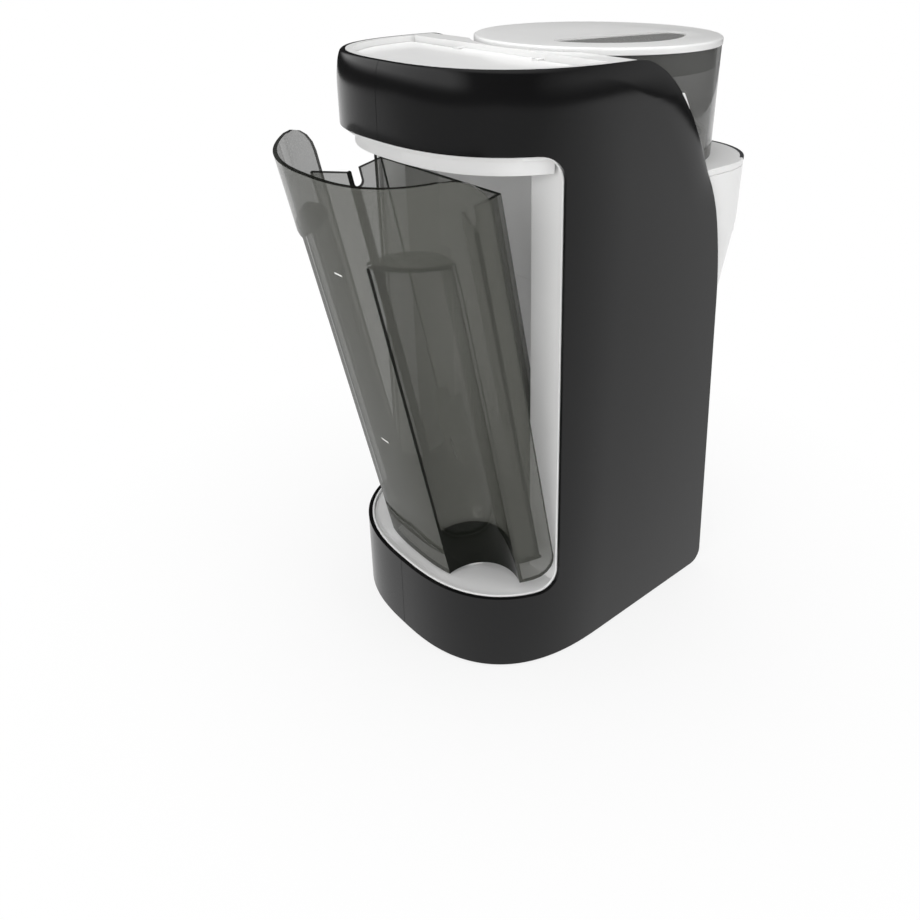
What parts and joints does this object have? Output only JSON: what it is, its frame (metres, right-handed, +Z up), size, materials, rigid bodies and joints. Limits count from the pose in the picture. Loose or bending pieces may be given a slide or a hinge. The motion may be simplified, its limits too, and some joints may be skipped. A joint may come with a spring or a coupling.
{
  "type": "baby formula maker",
  "caption": "Counter-top baby formula maker: smoky water tank tilted out at the back, powder container on top, mixing funnel over a bottle bay with a sliding stand.",
  "frame": {"origin": "on the table, under the middle of the whole object's outline", "axes": "+Z up, +Y to the back where the water tank is, +X to the left as seen from the back"},
  "size_m": [0.18, 0.2817, 0.3703],
  "materials": {
    "casing_black": "satin black",
    "shell_white": "white",
    "liner_white": "fine texture",
    "tank_smoke": "smoky clear plastic",
    "container_smoke": "smoky clear plastic",
    "window_smoke": "smoky clear plastic",
    "deck_grey": "dark grey",
    "rubber_dark": "matt",
    "seal_white": "silicone",
    "steel": "plain",
    "gear_white": "acetal",
    "brass": "plain",
    "motor_metal": "zinc",
    "panel_dark": "gloss",
    "display_glass": "gloss",
    "button_grey": "satin",
    "board_green": "board",
    "hose_clear": "silicone",
    "inlet_black": "plain"
  },
  "bodies": {
    "housing": {"side_casing_left": "casing_black", "side_casing_right": "casing_black", "base_pan": "liner_white", "rubber_feet": "rubber_dark", "base_screws": "steel", "bay_floor": "liner_white", "bay_wall": "liner_white", "bay_ceiling": "liner_white", "valve_socket": "liner_white", "socket_seal": "rubber_dark", "top_deck": "shell_white", "lid_hinge_pin": "steel", "container_well": "liner_white", "container_deck": "deck_grey", "shaft_bush": "brass", "motor": "motor_metal", "motor_bracket": "liner_white", "front_housing": "shell_white", "control_panel": "panel_dark", "display_window": "display_glass", "display_board": "board_green", "funnel_rails": "liner_white", "water_spout": "liner_white", "front_wall": "liner_white", "front_base": "shell_white", "pump": "motor_metal", "heater": "steel", "inlet_hose": "hose_clear", "pressure_hose": "hose_clear", "spout_hose": "hose_clear", "main_board": "board_green", "power_inlet": "inlet_black"},
    "tank": {"water_tank": "tank_smoke", "float_cage": "tank_smoke", "valve_spring": "steel"},
    "plunger": {"valve_plunger": "gear_white"},
    "float": {"tank_float": "gear_white"},
    "fill_lid": {"water_lid": "shell_white"},
    "container": {"powder_container": "container_smoke"},
    "container_lid": {"powder_lid": "shell_white", "lid_window": "window_smoke", "lid_seal": "seal_white"},
    "wheel": {"powder_wheel": "gear_white"},
    "drive": {"drive_shaft": "steel", "drive_gear": "gear_white"},
    "pinion": {"motor_pinion": "gear_white", "motor_shaft": "steel"},
    "funnel": {"mixing_funnel": "shell_white"},
    "tray": {"drip_tray": "shell_white", "drip_grille": "steel"},
    "stand": {"bottle_stand": "shell_white"},
    "button_power": {"button_power": "button_grey"},
    "button_temperature": {"button_temperature": "button_grey"},
    "button_start": {"button_start": "button_grey"},
    "button_amount": {"button_amount": "button_grey"},
    "button_formula": {"button_formula": "button_grey"}
  },
  "joints": [
    {"name": "tank_tilt", "type": "hinge", "parent": "housing", "child": "tank", "pos_m": [0, 0.0901, 0.1028], "axis": [1, 0, 0], "range_deg": [0, 12.24]},
    {"name": "valve_lift", "type": "slide", "parent": "tank", "child": "plunger", "axis": [0, 0.212, 0.9773], "range_m": [0, 0.002], "stiffness_N_per_m": 300, "springref_m": -0.002, "deforming": ["valve_spring"]},
    {"name": "float_rise", "type": "slide", "parent": "tank", "child": "float", "axis": [0, 0.212, 0.9773], "range_m": [0, 0.04]},
    {"name": "fill_lid_swing", "type": "hinge", "parent": "housing", "child": "fill_lid", "pos_m": [0, 0.015, 0.3629], "axis": [1, 0, 0], "range_deg": [0, 90]},
    {"name": "container_lift", "type": "slide", "parent": "housing", "child": "container", "axis": [0, 0, 1], "range_m": [0, 0.075]},
    {"name": "lid_lift", "type": "slide", "parent": "container", "child": "container_lid", "axis": [0, 0, 1], "range_m": [0, 0.04]},
    {"name": "drive_turn", "type": "hinge", "parent": "housing", "child": "drive", "pos_m": [0, -0.066, 0.3], "axis": [0, 0, 1], "continuous": true},
    {"name": "wheel_turn", "type": "hinge", "parent": "container", "child": "wheel", "pos_m": [0, -0.066, 0.305], "axis": [0, 0, 1], "continuous": true},
    {"name": "pinion_turn", "type": "hinge", "parent": "housing", "child": "pinion", "pos_m": [0, -0.033, 0.289], "axis": [0, 0, 1], "continuous": true},
    {"name": "funnel_slide", "type": "slide", "parent": "housing", "child": "funnel", "axis": [0, -1, 0], "range_m": [0, 0.085]},
    {"name": "tray_slide", "type": "slide", "parent": "housing", "child": "tray", "axis": [0, -1, 0], "range_m": [0, 0.07]},
    {"name": "stand_slide", "type": "slide", "parent": "housing", "child": "stand", "axis": [0, 0, 1], "range_m": [0, 0.07]},
    {"name": "power_press", "type": "slide", "parent": "housing", "child": "button_power", "axis": [0, 1, 0], "range_m": [0, 0.0008], "stiffness_N_per_m": 500, "springref_m": -0.0004},
    {"name": "temperature_press", "type": "slide", "parent": "housing", "child": "button_temperature", "axis": [0, 1, 0], "range_m": [0, 0.0008], "stiffness_N_per_m": 500, "springref_m": -0.0004},
    {"name": "start_press", "type": "slide", "parent": "housing", "child": "button_start", "axis": [0, 1, 0], "range_m": [0, 0.0008], "stiffness_N_per_m": 500, "springref_m": -0.0004},
    {"name": "amount_press", "type": "slide", "parent": "housing", "child": "button_amount", "axis": [0, 1, 0], "range_m": [0, 0.0008], "stiffness_N_per_m": 500, "springref_m": -0.0004},
    {"name": "formula_press", "type": "slide", "parent": "housing", "child": "button_formula", "axis": [0, 1, 0], "range_m": [0, 0.0008], "stiffness_N_per_m": 500, "springref_m": -0.0004}
  ],
  "couplings": [
    {"joint": "wheel_turn", "follows": "drive_turn", "ratio": 1},
    {"joint": "pinion_turn", "follows": "drive_turn", "ratio": -2.6667}
  ]
}
